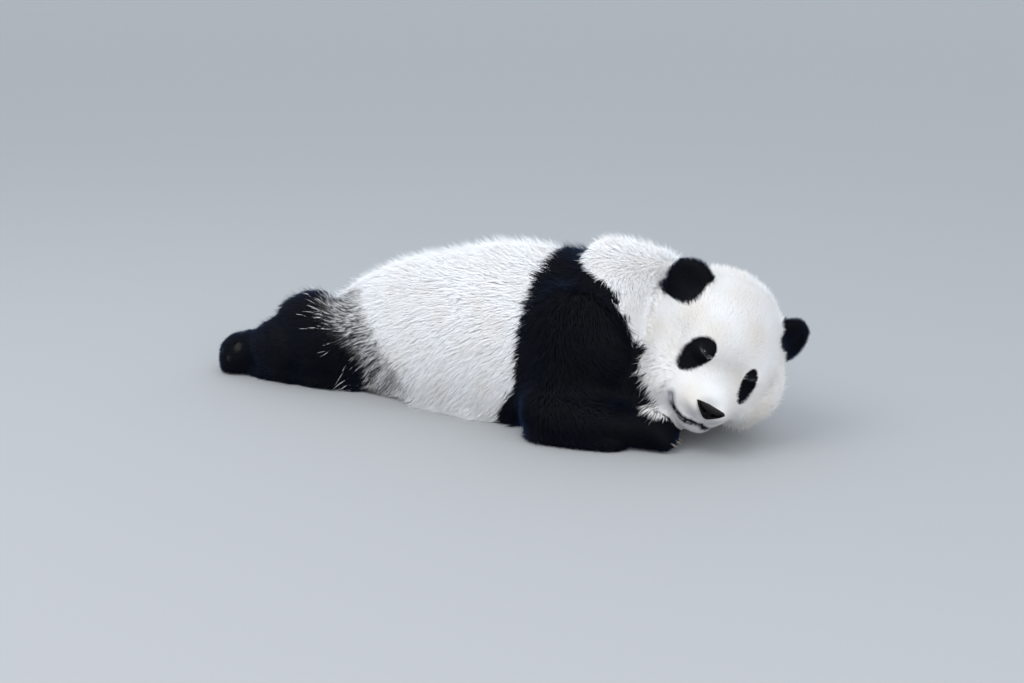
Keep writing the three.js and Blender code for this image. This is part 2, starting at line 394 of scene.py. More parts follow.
def joined_flesh():
    """Every solid of flesh in one mesh, each grown so that they overlap."""
    joint = bmesh.new()
    for name in FLESH:
        one = bmesh.new()
        one.from_mesh(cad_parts[name].data)
        bmesh.ops.remove_doubles(one, verts=one.verts, dist=WELD)
        one.normal_update()
        for v in one.verts:
            v.co += v.normal * grown_by(PARTS[part_of(name)]) * MM
        grown = bpy.data.meshes.new(name)
        one.to_mesh(grown)
        joint.from_mesh(grown)
        one.free()
    mesh = bpy.data.meshes.new("flesh")
    joint.to_mesh(mesh)
    joint.free()
    return mesh


def nearest_parts(points):
    """For each point, the part of the body whose solid is nearest."""
    corners, faces, parts = [], [], []
    for name in FLESH:
        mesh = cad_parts[name].data
        start = len(corners)
        corners += [v.co.copy() for v in mesh.vertices]
        faces += [[start + i for i in polygon.vertices] for polygon in mesh.polygons]
        parts += [part_of(name)] * len(mesh.polygons)
    tree = BVHTree.FromPolygons(corners, faces)
    return np.array([parts[tree.find_nearest(Vector(p))[2]] for p in points])


def refined(mesh, places, reach):
    """Cuts each edge in half where places() is true of its middle, edges over reach only."""
    shape = bmesh.new()
    shape.from_mesh(mesh)
    middles = np.array([(e.verts[0].co + e.verts[1].co) / 2 for e in shape.edges])
    lengths = np.array([e.calc_length() for e in shape.edges])
    wanted = places(middles) & (lengths > reach)
    shape.edges.ensure_lookup_table()
    cut = [shape.edges[i] for i in np.flatnonzero(wanted)]
    bmesh.ops.subdivide_edges(shape, edges=cut, cuts=1)
    bmesh.ops.triangulate(shape, faces=shape.faces)
    shape.to_mesh(mesh)
    shape.free()
    return mesh


def on_face(points):
    local = on_head(points)
    return (local[:, 0] > 45) & (np.linalg.norm(local, axis=1) < 190)


def near_features(points):
    local = on_head(points)
    nose = np.linalg.norm(local - NOSE_AT, axis=1) < 42
    mouth = near_line(local, mouth_line) < 14
    return nose | mouth | near_eyes(points) | (gap_to_pads(points) < 6 * MM)


def near_eyes(points):
    return gap_to_eyes(on_head(points)) < 27


LID_SAG = 3.5  # how far the slit between the lids hangs below a straight line, in mm
LID_FOLD, LID_BLEND = 2.4, 12  # height of the soft fold where a lid meets the face, and its reach
SLIT_RIM, SLIT_DEPTH = 0.7, 1.6  # the lids' edges stand out beside the slit
UPPER_LIP, LOWER_LIP, MOUTH_DEPTH, CLEFT_DEPTH = 2.6, 1.0, 5.5, 2.2


def lid_line(eye):
    """The slit between closed lids: an arc over the eyeball that sags between its corners."""
    middle, outer, inner = (np.array(eye[k], float) for k in ("middle", "outer", "inner"))
    sag = np.array([0, 0, -LID_SAG])
    steps = np.linspace(0, 1, 9)[:, None]
    chord = outer + (inner - outer) * steps + sag * 4 * steps * (1 - steps)
    return middle + unit(chord - middle) * (EYE_RADIUS + LID)


def painted_lid_highlights(local):
    """1 on the lids' pale edges, a painted highlight where the bare lid margins catch light. They
    end before the eye's corners, and the upper one is faint.
    """
    lines = np.zeros(len(local))
    for eye in EYES.values():
        line = lid_line(eye)
        gap = near_line(local, line)
        chord = line[-1] - line[0]
        along = (local - line[0]) @ chord / (chord @ chord)
        slit_height = np.interp(along, np.linspace(0, 1, len(line)), line[:, 2])
        below = rise(2, -2, local[:, 2] - slit_height)
        edge = rise(1.1, 1.6, gap) * rise(3.2, 2.5, gap)
        edge = edge * rise(0.0, 0.15, along) * rise(1.02, 0.95, along)
        lines = np.maximum(lines, edge * (0.45 + 0.55 * below))
    return lines


def gap_to_slits(local):
    return np.minimum(*[near_line(local, lid_line(eye)) for eye in EYES.values()])


def shaped_eyes(local):
    """Closed lids: the skin is drawn over each eyeball and parts along a narrow slit."""
    for eye in EYES.values():
        middle = np.array(eye["middle"], float)
        out = unit(middle)
        way = local - middle
        height = way @ out
        aside = np.linalg.norm(way - height[:, None] * out, axis=1)
        top = EYE_RADIUS + LID
        lid = top - 1.05 * aside**2 / (2 * top)
        blend = np.maximum(LID_BLEND - np.abs(height - lid), 0) / LID_BLEND
        lifted = np.maximum(height, lid) + blend**2 * LID_FOLD - rise(14, 8, aside)
        lifted = np.where(aside < 30, lifted, height)
        local = local + (lifted - height)[:, None] * out
        slit = near_line(local, lid_line(eye))
        ridge = SLIT_RIM * rise(4.0, 2.4, slit) - SLIT_DEPTH * rise(1.4, 0.4, slit)
        local = local + ridge[:, None] * out
    return local


def shaped_mouth(local, normals):
    """A groove along the mouth, under a soft upper lip, and the line from the nose down to it."""
    gap = near_line(local, mouth_line)
    line_height = np.interp(local[:, 1], mouth_line[:, 1], mouth_line[:, 2])
    above = rise(-3, 3, local[:, 2] - line_height)
    lip = above * UPPER_LIP * rise(16, 4, gap) + (1 - above) * LOWER_LIP * rise(9, 4, gap)
    groove = MOUTH_DEPTH * rise(4.0, 0.6, gap)
    cleft = CLEFT_DEPTH * rise(3.5, 0.5, near_line(local, CLEFT))
    return local + normals * (lip - groove - cleft)[:, None]


# Radii of the pads. A toe's pad lies behind its claw's base and over it, and the ball behind those.
TOE_PAD, BALL_PAD = 8.5 * MM, 12.5 * MM
TOE_BACK, TOE_UP, BALL_BACK, BALL_UP = 15 * MM, 18 * MM, 27 * MM, 10 * MM


def pads_of(side):
    """Middles and radii of the pads of a hind sole, which faces up: five toes and the ball."""
    claws = [claw_ends(f"hind_foot_{side}_claw_{number}") for number in range(1, 6)]
    ahead = unit(np.mean([tip - base for base, tip in claws], axis=0) * (1, 1, 0))
    spots = [base - ahead * TOE_BACK + (0, 0, TOE_UP) for base, tip in claws]
    back = [spot - ahead * BALL_BACK + (0, 0, BALL_UP) for spot in spots[1:4]]
    return [(spot, TOE_PAD) for spot in spots] + [(spot, BALL_PAD) for spot in back]


def claw_ends(node):
    """Middle of the base and tip of a claw's solid."""
    points = np.array([v.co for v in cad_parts[node].data.vertices])
    paw = middle_of(node.rsplit("_claw", 1)[0])
    far = np.linalg.norm(points - paw, axis=1)
    tip = points[far.argmax()]
    away = np.linalg.norm(points - tip, axis=1)
    base = points[away > away.max() * 0.9].mean(0)
    return base, tip


PADS = pads_of("right") + pads_of("left")


def gap_to_pads(points):
    """Distance outside the nearest pad in metres, under 0 on a pad."""
    gaps = [np.linalg.norm(points - middle, axis=1) - radius for middle, radius in PADS]
    return np.min(gaps, axis=0)


def settled_mouth(points, triangles):
    """The mouth's line, moved to the nearest places on the skin."""
    return on_head(nearest_on(points, triangles, from_head(MOUTH)))


def settled_pads(points, triangles):
    spots = nearest_on(points, triangles, [middle for middle, radius in PADS])
    return [(spot, radius) for spot, (middle, radius) in zip(spots, PADS)]


def build_skin():
    """The skin's points, triangles and edges, inside the solids by the depth of the coat."""
    global mouth_line, PADS
    points, triangles, edges = arrays(remeshed(joined_flesh(), SKIN_GRAIN))
    parts = nearest_parts(points)
    thin = blur(np.isin(parts, THIN), edges, 8)[:, None]
    broad = rounded(points, triangles, edges, 16)
    points = broad + (rounded(points, triangles, edges, 5) - broad) * thin
    normals = unit(blur(normals_of(points, triangles), edges, 4))
    sunk = blur(np.array([SUNK.get(part, USUAL_SUNK) for part in PARTS])[parts], edges, 6)
    depth = sunk * standing(coat_table(points, parts, edges))
    depth += blur(np.array([grown_by(part) for part in PARTS], float)[parts], edges, 20)
    # The coat is pressed flat where the animal lies on the floor.
    depth *= 1 - 0.7 * rise(0.3, 0.9, -normals[:, 2]) * rise(0.03, 0.008, points[:, 2])
    points = points - normals * depth[:, None] * MM
    points[:, 2] = np.maximum(points[:, 2], LOWEST_SKIN)
    shell = remeshed(triangle_mesh("inner", points, triangles), SKIN_GRAIN)
    points, triangles, edges = arrays(shell)
    points = rounded(points, triangles, edges, 4)
    shell.vertices.foreach_set("co", points.ravel())
    mouth_line = settled_mouth(points, triangles)
    PADS = settled_pads(points, triangles)
    shell = refined(shell, on_face, FACE_GRAIN)
    shell = refined(shell, near_features, FEATURE_GRAIN)
    shell = refined(shell, near_eyes, EYE_GRAIN)
    points, triangles, edges = arrays(shell)
    soft = blur(points, edges, 4)
    fine = on_face(points) | near_features(points)
    points[fine] = soft[fine]
    mouth_line = settled_mouth(points, triangles)
    normals = normals_of(points, triangles)
    pads = rise(1.0, -3.5, gap_to_pads(points) / MM)
    points += normals * (pads * PAD_HEIGHT)[:, None]
    local = shaped_mouth(on_head(points[fine]), normals[fine] @ HEAD_TURN)
    points[fine] = from_head(shaped_eyes(local))
    return points, triangles, edges


# ---------------------------------------------------------------- markings


# The black band over the withers: heights in mm, and where along the body each of its edges lies.
BAND = {
    "back": ((20, 45, 80, 150, 200, 260, 340), (98, 122, 145, 156, 147, 149, 156)),
    "front_right": (
        (150, 170, 190, 217, 240, 265, 285, 305, 333),
        (480, 412, 385, 367, 355, 343, 328, 302, 230),
    ),
    "front_left": ((60, 170, 240, 300, 333), (508, 376, 356, 312, 228)),
}


def body_black(points):
    """How black the fur of trunk, neck and legs is, 0 to 1: the legs, joined over the withers."""
    x, z = points[:, 0] / MM, points[:, 2] / MM
    across = (points[:, 1] - SPINE_Y) / MM
    side = np.abs(across)
    left = rise(-40, 40, across)
    # The edges are ragged by several mm.
    ragged = 6 * ripple(points, 0.035, 3) + 3 * ripple(points, 0.014, 4)
    band_back = np.interp(z, *BAND["back"])
    on_right, on_left = (np.interp(z, *BAND[key]) for key in ("front_right", "front_left"))
    band_front = on_right * (1 - left) + on_left * left
    band = rise(-6, 6, np.minimum(x - band_back, band_front - x) + ragged)
    # The haunch's edge slants back as it rises. Its black and white mix over a broad zone.
    hips = -195 - 1.08 * np.maximum(z - 70, 0) - 0.6 * np.maximum(z - 170, 0) - x
    legs = rise(-105, 135, hips + ragged) ** 0.6 * rise(45, 85, side)
    return np.maximum(band, legs)


def head_black(local):
    black = np.zeros(len(local))
    for patch in PATCHES.values():
        tilt = math.radians(patch["tilt"])
        y, z = local[:, 1] - patch["middle"][0], local[:, 2] - patch["middle"][1]
        along = y * math.sin(tilt) + z * math.cos(tilt)
        across = y * math.cos(tilt) - z * math.sin(tilt)
        long, wide = patch["half"]
        reach = np.hypot(along / long, across / (wide * (1 + PATCH_EGG * along / long)))
        black = np.maximum(black, rise(1.06, 0.96, reach) * (local[:, 0] > 40))
    for (y, z), (wide, high) in EAR_ROOTS:
        reach = np.hypot((local[:, 1] - y) / wide, (local[:, 2] - z) / high)
        black = np.maximum(black, rise(1.05, 0.95, reach))
    return black


def mouth_strength(local):
    """The mouth's line fades towards its right corner."""
    return 0.25 + 0.75 * rise(-60, -44, local[:, 1])


def behind_cheek(local):
    """1 behind the back edge of the cheek, where the black of the shoulder starts."""
    z = local[:, 2]
    edge = -22 + 0.5 * (34 - z) + 0.4 * np.maximum(-100 - z, 0)
    return rise(4, -4, local[:, 0] - edge) * rise(20, -20, local[:, 1])


def beside_foreleg(points, parts, edges):
    """1 in the fold between neck and foreleg, within about 10 mm of the leg: black as well."""
    near = blur(parts == PARTS.index("upper_foreleg"), edges, 12)
    return rise(0.1, 0.35, near) * rise(215 * MM, 245 * MM, points[:, 0])


def blackness(points, parts):
    black = body_black(points)
    head = of_head(parts)
    local = on_head(points[head])
    black[head] = np.maximum(head_black(local), behind_cheek(local) * black[head])
    black[parts == PARTS.index("tail")] = 0
    for part in ("ear", "upper_foreleg", "forearm", "forepaw", "hind_foot", "shank"):
        black[parts == PARTS.index(part)] = 1
    return black


# ---------------------------------------------------------------- lie of the coat

ELBOW_WHORL = np.array([248, -181, 173]) * MM  # from the spine, on the right; the left mirrors it


def lie_of_coat(points, normals, parts, edges):
    """The way the fur lies at each vertex of the skin, in the plane of the skin."""
    # Back along the body and down, the more so towards the floor.
    ways = np.tile(np.array([-1, 0, -0.3]), (len(points), 1))
    ways[:, 2] -= 0.6 * rise(0.30, 0.14, points[:, 2]) + 0.8 * rise(0.10, 0.02, points[:, 2])
    right = points[:, 1] < SPINE_Y
    # Away from the nose, down on the cheeks, and up to the ears' rims.
    head = of_head(parts)
    local = on_head(points[head])
    down = cheek_share(local)[:, None] * np.array([0, 0, -2.0])
    ways[head] = along_head(unit(local - NOSE_TIP)) + down
    ear = parts == EAR
    ways[ear] = along_head(unit(on_head(points[ear]) - np.array([0, 0, 20])))
    # Along each limb, and round a whorl at the elbow on the foreleg.
    for side, there in (("right", right), ("left", ~right)):
        fore = middle_of(f"forepaw_{side}") - middle_of(f"forearm_{side}")
        hind = middle_of(f"hind_foot_{side}") - middle_of(f"shank_{side}")
        whorl = ELBOW_WHORL * (1, 1 if side == "right" else -1, 1) + (0, SPINE_Y, 0)
        from_whorl = unit(points - whorl) + np.array([0, 0, -0.5])
        above = rise(0.0, 0.05, points[:, 2] - whorl[2])[:, None]
        from_whorl += (np.array([0.25, 0, -1.2]) - from_whorl) * above
        by_part = {
            "upper_foreleg": from_whorl, "forearm": unit(fore) * 0.5 + from_whorl,
            "forepaw": unit(fore), "thigh": np.array([-1, 0, -0.35]), "shank": unit(hind),
            "hind_foot": unit(hind), "tail": np.array([-0.75, 0, -0.65]),
        }
        for part, way in by_part.items():
            here = there & (parts == PARTS.index(part))
            ways[here] = np.broadcast_to(way, points.shape)[here]
    # Back on top of the neck, and straight down where its side meets the foreleg.
    neck = parts == PARTS.index("neck")
    beside = rise(0.345, 0.30, points[neck, 2]) * rise(0.17, 0.23, points[neck, 0])
    ways[neck] = np.array([-0.9, 0, -0.5]) + np.array([0.6, 0, -0.6]) * beside[:, None]
    for _ in range(6):
        ways = unit(flat(blur(ways, edges, 5), normals))
    return ways


# ---------------------------------------------------------------- tufts

BAKE_PATCH = 0.003  # side of a tuft's patch on the unwrapped skin
MOST = 190_000  # triangles in one piece of the coat
STRAY = (0.08, 0.22)  # share of the tufts that stand out, on the flanks and on the back and crown
LONG = 17 * MM  # tufts over this length bend in the middle
LENGTHS, WIDTHS = (0.75, 1.15), (0.8, 1.2)  # least and most, as shares of the table's
# Angles in degrees: how tufts differ one by one in their turn and lean, how the lie swirls over
# some 50 mm, and how far those that stand out turn and rise.
TURN, LEAN, SWIRL, STRAY_TURN, STRAY_ROOT, STRAY_TIP = 8, 6, 9, 16, 12, 29
CLUMP, PULL = 9, 0.18  # tufts to a clump, and how far their tips draw together
ROOT_DEPTH = 0.05  # how far a root goes into the skin, as a share of the tuft's length
TIP_REACH = 17 * MM  # how far tips may stand over the top of the solids


def scattered(weights):
    """Triangles that bear a root each, and the root's shares of their corners."""
    total = np.cumsum(weights)
    count = int(total[-1])
    marks = (np.arange(count) + chance.random(count)) * total[-1] / count
    chosen = np.searchsorted(total, marks)
    a, b = np.sort(chance.random((2, count)), axis=0)
    return chosen, np.stack([a, b - a, 1 - b], axis=1)


def clumped(root, tip, spacing, share):
    """Draws tips together, so that neighbouring tufts end in one point."""
    leaders = np.flatnonzero(chance.random(len(root)) < 1 / spacing)
    tree = KDTree(len(leaders))
    for i, leader in enumerate(leaders):
        tree.insert(root[leader], i)
    tree.balance()
    nearest = leaders[np.array([tree.find(p)[1] for p in root])]
    reach = np.linalg.norm(root[nearest] - root, axis=1)
    length = np.linalg.norm(tip - root, axis=1)
    hold = share * rise(0.6, 0.2, reach / length)
    return tip + (tip[nearest] - tip) * hold[:, None]


def bent(tufts, lean_root, lean_tip, stray):
    """Adds the middle and the tip of each tuft, which bends from its root's lean to its tip's."""
    root, up, way, length = (tufts[key] for key in ("root", "up", "way", "length"))
    count = len(root)
    turn = chance.normal(0, math.radians(TURN), count) + math.radians(SWIRL) * ripple(root, 0.05, 5)
    turn += math.radians(STRAY_TURN) * chance.normal(0, 1, count) * stray
    across = np.cross(up, way)
    way = unit(way * np.cos(turn)[:, None] + across * np.sin(turn)[:, None])
    first = np.radians(lean_root + chance.normal(0, LEAN, count) - STRAY_ROOT * stray)[:, None]
    last = np.radians(lean_tip + chance.normal(0, LEAN, count) - STRAY_TIP * stray)[:, None]
    half = (length / 2)[:, None]
    middle = root + half * (np.cos(first) * up + np.sin(first) * way)
    tip = middle + half * (np.cos(last) * up + np.sin(last) * way)
    tufts.update(way=way, middle=middle, tip=clumped(root, tip, CLUMP, PULL))


def laid_on_floor(places, up):
    """Lays what would reach below the floor outwards along it."""
    floor_gap = (1 + 3 * chance.random(len(places))) * MM
    dip = np.maximum(floor_gap - places[:, 2], 0)
    outward = unit(up * (1, 1, 0))
    places += outward * (dip * chance.uniform(0.3, 1.1, len(places)))[:, None]
    places[:, 2] += dip


def spindles(root, up, across, middle, tip, width):
    """Closed tufts that swell from a point at the root to the middle and bend there to the tip."""
    w = (width / 2)[:, None]
    rows = [root, middle - across * w, middle + across * w, middle + up * w, tip]
    faces = [(0, 2, 1), (0, 3, 2), (0, 1, 3), (4, 1, 2), (4, 2, 3), (4, 3, 1)]
    return rows, faces, (0, 0.5, 0.5, 0.5, 1), [(1, 0), (0, 1), (2, 1), (1, 1), (1, 2)]


def needles(root, up, across, middle, tip, width):
    """Closed straight tufts with three sides and a foot in the skin, which need no middle."""
    w = (width / 2)[:, None]
    rows = [root - across * w, root + across * w, root + up * w, tip]
    faces = [(0, 2, 1), (3, 0, 1), (3, 1, 2), (3, 2, 0)]
    return rows, faces, (0, 0, 0, 1), [(0, 0), (2, 0), (1, 0), (1, 2)]


def coat_pieces(name, material, form, tufts):
    """Tufts as meshes of at most MOST triangles, with their values and their bake map."""
    root, up, middle, tip = (tufts[key] for key in ("root", "up", "middle", "tip"))
    across = np.cross(up, tufts["way"])
    sunk = root - up * (ROOT_DEPTH * tufts["length"])[:, None]
    rows, faces, along, spread = form(sunk, up, across, middle, tip, tufts["width"])
    faces, spread = np.array(faces), np.array(spread) * BAKE_PATCH / 2
    corners = len(rows)
    points = np.stack(rows, axis=1)
    # A tuft is shaded mostly as the skin under it, so that the coat looks soft.
    core = (root + middle + tip)[:, None] / 3
    shading = unit(unit(points - core) * 0.35 + up[:, None] * 0.9)
    step = MOST // len(faces)
    for number, start in enumerate(range(0, len(root), step)):
        part = slice(start, start + step)
        count = len(root[part])
        triangles = (faces[None] + corners * np.arange(count)[:, None, None]).reshape(-1, 3)
        mesh = triangle_mesh(f"{name}_{number + 1}", points[part].reshape(-1, 3), triangles)
        write_value(mesh, "along", np.tile(along, count))
        for key in ("vary", "stain", "blush_and_shade"):
            write_value(mesh, key, np.repeat(tufts[key][part], corners))
        flat_uv = (tufts["uv"][part][:, None, :] + spread[None]).reshape(-1, 2)[triangles.ravel()]
        layer = mesh.uv_layers.new(name="OFBake")
        layer.uv.foreach_set("vector", flat_uv.astype(np.float32).ravel())
        soft = mesh.attributes.new("custom_normal", "FLOAT_VECTOR", "POINT")
        soft.data.foreach_set("vector", shading[part].astype(np.float32).ravel())
        mesh.materials.append(material)
        piece = add_piece(mesh.name, mesh)
        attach(piece, "root")


# ---------------------------------------------------------------- materials


def linear(colour):
    """A colour such as #8d8378 as the linear values that the shaders take."""
    parts = [int(colour[i : i + 2], 16) / 255 for i in (1, 3, 5)]
    levels = [p / 12.92 if p <= 0.04045 else ((p + 0.055) / 1.055) ** 2.4 for p in parts]
    return (*levels, 1.0)


def add_node(tree, kind, settings=None, inputs=None):
    """Adds a node. An input is a value, or another node's socket to link."""
    node = tree.nodes.new(kind)
    for key, value in (settings or {}).items():
        setattr(node, key, value)
    for key, value in (inputs or {}).items():
        if isinstance(value, bpy.types.NodeSocket):
            tree.links.new(value, node.inputs[key])
        else:
            node.inputs[key].default_value = value
    return node


def new_material(name):
    material = bpy.data.materials.new(name)
    material.use_nodes = True
    material.node_tree.nodes.clear()
    return material, material.node_tree


COLOUR = {"data_type": "RGBA"}


def fur_material(name, root, tip, stain, blush_and_shade, darkest, gloss, shine):
    """Hair of one colour at its root and another at its tip, stained, greyed on the muzzle by a
    blush that is partly painted shade, and varied tuft by tuft.
    """
    material, tree = new_material(name)
    along, stained, blush_and_shade_share, vary = (
        add_node(tree, "ShaderNodeAttribute", {"attribute_name": key}).outputs["Fac"]
        for key in ("along", "stain", "blush_and_shade", "vary")
    )
    hair = linear(root)
    for share, over in ((along, tip), (stained, stain), (blush_and_shade_share, blush_and_shade)):
        mix = add_node(tree, "ShaderNodeMix", COLOUR, {0: share, 6: hair, 7: linear(over)})
        hair = mix.outputs[2]
    shade = add_node(tree, "ShaderNodeMapRange", None, {0: vary, 3: darkest, 4: 1.0})
    scale = {0: hair, "Scale": shade.outputs[0]}
    varied = add_node(tree, "ShaderNodeVectorMath", {"operation": "SCALE"}, scale)
    shader = add_node(
        tree, "ShaderNodeBsdfPrincipled", None,
        {
            "Base Color": varied.outputs[0],
            "Roughness": 0.6,
            "IOR": 1.55,
            "Specular IOR Level": gloss,
            "Sheen Weight": shine["weight"],
            "Sheen Roughness": 0.4,
            "Sheen Tint": linear(shine["tint"]),
        },
    )
    add_node(tree, "ShaderNodeOutputMaterial", None, {"Surface": shader.outputs[0]})
    return material


# Guard hair: keratin with a rough scaled surface, so a soft broad gloss. The core of a white hair
# scatters light, and black hair has a cold sheen where it turns from the light.
# The grey-mauve muzzle colours are partly the lips' tint and partly painted shade.
WHITE_HAIR = fur_material(
    "white_guard_hair", "#f8f8f8", "#fefefe", "#e6d8c4", "#a29da5", 0.95, 0.3,
    {"weight": 0.15, "tint": "#ffffff"},
)
BLACK_HAIR = fur_material(
    "black_guard_hair", "#020203", "#070f1b", "#201c1e", "#262228", 0.3, 0.08,
    {"weight": 0.14, "tint": "#5884d8"},
)


def skin_material():
    """Skin, pale under white fur and dark under black. Lids, lips and soles are bare, and the lids'
    pale edges are a painted highlight.
    """
    material, tree = new_material("furred_skin")
    black, lid, lip, pad = (
        add_node(tree, "ShaderNodeAttribute", {"attribute_name": key}).outputs["Fac"]
        for key in ("black", "lid", "lip", "pad")
    )
    places = add_node(tree, "ShaderNodeTexCoord").outputs["Object"]
    colour = linear("#ece8e4")
    # The pale slate on the lids' edges is a painted highlight of bare, wet lid margins.
    for share, over in ((black, "#060607"), (lid, "#43464f"), (lip, "#1d171b"), (pad, "#171415")):
        mix = add_node(tree, "ShaderNodeMix", COLOUR, {0: share, 6: colour, 7: linear(over)})
        colour = mix.outputs[2]
    # Underfur of about 1 mm and, on the soles, horny grains of about 1.5 mm.
    hair_size = {"Vector": places, "Scale": 900.0, "Detail": 3.0}
    hairs = add_node(tree, "ShaderNodeTexNoise", None, hair_size)
    grains = add_node(tree, "ShaderNodeTexVoronoi", None, {"Vector": places, "Scale": 650.0})
    either = {0: pad, 2: hairs.outputs[0], 3: grains.outputs[0]}
    relief = add_node(tree, "ShaderNodeMix", {"data_type": "FLOAT"}, either)
    depth = {"Strength": 0.4, "Distance": 0.0006, "Height": relief.outputs[0]}
    bump = add_node(tree, "ShaderNodeBump", None, depth)
    shader = add_node(
        tree, "ShaderNodeBsdfPrincipled", None,
        {
            "Base Color": colour,
            "Roughness": 0.6,
            "IOR": 1.45,
            "Specular IOR Level": 0.2,
            "Normal": bump.outputs[0],
        },
    )
    add_node(tree, "ShaderNodeOutputMaterial", None, {"Surface": shader.outputs[0]})
    return material


def nose_material():
    """Nose leather: moist hairless skin in pebbles of about 1 mm, brown-black, with painted shade
    inside the nostrils.
    """
    material, tree = new_material("moist_nose_leather")
    nostril_shade = add_node(tree, "ShaderNodeAttribute", {"attribute_name": "nostril_shade"}).outputs["Fac"]
    places = add_node(tree, "ShaderNodeTexCoord").outputs["Object"]
    cells = add_node(tree, "ShaderNodeTexVoronoi", None, {"Vector": places, "Scale": 800.0})
    blotches = {"Vector": places, "Scale": 120.0, "Detail": 2.0}
    mottle = add_node(tree, "ShaderNodeTexNoise", None, blotches)
    colour = linear("#060506")
    # The mottle is the leather's own; the darker colour inside the nostrils is painted shade.
    for share, over in ((mottle.outputs[0], "#0f0d0e"), (nostril_shade, "#050405")):
        mix = add_node(tree, "ShaderNodeMix", COLOUR, {0: share, 6: colour, 7: linear(over)})
        colour = mix.outputs[2]
    depth = {"Strength": 0.5, "Distance": 0.0005, "Height": cells.outputs[0]}
    bump = add_node(tree, "ShaderNodeBump", {"invert": True}, depth)
    shader = add_node(
        tree, "ShaderNodeBsdfPrincipled", None,
        {
            "Base Color": colour,
            "Roughness": 0.42,
            "IOR": 1.45,
            "Specular IOR Level": 0.06,
            "Coat Weight": 0.04,
            "Coat Roughness": 0.25,
            "Normal": bump.outputs[0],
        },
    )
    add_node(tree, "ShaderNodeOutputMaterial", None, {"Surface": shader.outputs[0]})
    return material


def eye_material():
    """A wet eye: dark brown iris and brown-white rim under a clear glossy cornea."""
    material, tree = new_material("wet_brown_eye")
    rim = add_node(tree, "ShaderNodeAttribute", {"attribute_name": "rim"}).outputs["Fac"]
    iris_to_rim = {0: rim, 6: linear("#1a0f09"), 7: linear("#5d4c42")}
    colour = add_node(tree, "ShaderNodeMix", COLOUR, iris_to_rim)
    shader = add_node(
        tree, "ShaderNodeBsdfPrincipled", None,
        {
            "Base Color": colour.outputs[2],
            "Roughness": 0.12,
            "IOR": 1.376,
            "Coat Weight": 1.0,
            "Coat Roughness": 0.03,
        },
    )
    add_node(tree, "ShaderNodeOutputMaterial", None, {"Surface": shader.outputs[0]})
    return material


def claw_material():
    """Claw horn: layered keratin worn smooth, streaked along its length and paler at the tip."""
    material, tree = new_material("worn_claw_horn")
    along = add_node(tree, "ShaderNodeAttribute", {"attribute_name": "along"}).outputs["Fac"]
    places = add_node(tree, "ShaderNodeTexCoord").outputs["Object"]
    fibres = {"Vector": places, "Scale": 500.0, "Detail": 3.0}
    streaks = add_node(tree, "ShaderNodeTexNoise", None, fibres)
    base_to_tip = {0: along, 6: linear("#4a4139"), 7: linear("#8f8271")}
    horn = add_node(tree, "ShaderNodeMix", COLOUR, base_to_tip)
    streaked = {0: 0.5, 6: horn.outputs[2], 7: streaks.outputs[1]}
    colour = add_node(tree, "ShaderNodeMix", COLOUR | {"blend_type": "MULTIPLY"}, streaked)
    shader = add_node(
        tree, "ShaderNodeBsdfPrincipled", None,
        {"Base Color": colour.outputs[2], "Roughness": 0.35, "IOR": 1.55},
    )
    add_node(tree, "ShaderNodeOutputMaterial", None, {"Surface": shader.outputs[0]})
    return material


# ---------------------------------------------------------------- skin and coat

mouth_line = MOUTH  # build_skin() lays it, and the pads, on the skin
skin_points, skin_triangles, skin_edges = build_skin()
skin_parts = nearest_parts(skin_points)
skin_normals = normals_of(skin_points, skin_triangles)
skin_local = on_head(skin_points)
skin_mesh = triangle_mesh("skin", skin_points, skin_triangles)
by_foreleg = beside_foreleg(skin_points, skin_parts, skin_edges)
write_value(skin_mesh, "black", np.maximum(blackness(skin_points, skin_parts), by_foreleg))
# The lids' pale edges: a painted highlight.
write_value(skin_mesh, "lid", painted_lid_highlights(skin_local))
lip = rise(9, 6, near_line(skin_local, mouth_line)) * mouth_strength(skin_local)
write_value(skin_mesh, "lip", lip)
write_value(skin_mesh, "pad", rise(1.5, -0.5, gap_to_pads(skin_points) / MM))
skin_mesh.materials.append(skin_material())
skin = add_piece("skin", skin_mesh)
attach(skin, "root")
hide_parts(*FLESH)


def unwrapped(piece):
    """Unwraps the skin's own shape into islands and returns the place of each corner."""
    piece.data.uv_layers.new(name="OFBake")
    bpy.context.view_layer.objects.active = piece
    piece.select_set(True)
    bpy.ops.object.mode_set(mode="EDIT")
    bpy.ops.mesh.select_all(action="SELECT")
    bpy.ops.uv.smart_project(angle_limit=math.radians(66), island_margin=0.004)
    bpy.ops.object.mode_set(mode="OBJECT")
    places = np.empty(len(piece.data.loops) * 2)
    piece.data.uv_layers["OFBake"].uv.foreach_get("vector", places)
    return places.reshape(-1, 3, 2)


def bare_places(points):
    """True on the lids' edges, the lips, the nose and the soles, which bear no fur."""
    local = on_head(points)
    out, aside, up = (local - NOSE_AT).T
    nose_half = np.interp(up, (-21, -12, 0, 3), (4, 12, 24, 20))
    nose = (out > -20) & (np.abs(aside) < nose_half) & (up < 3) & (up > -21)
    lips = near_line(local, mouth_line) < 3.0 * mouth_strength(local)
    return nose | lips | (gap_to_slits(local) < 1.9) | (gap_to_pads(points) < 0.5 * MM)


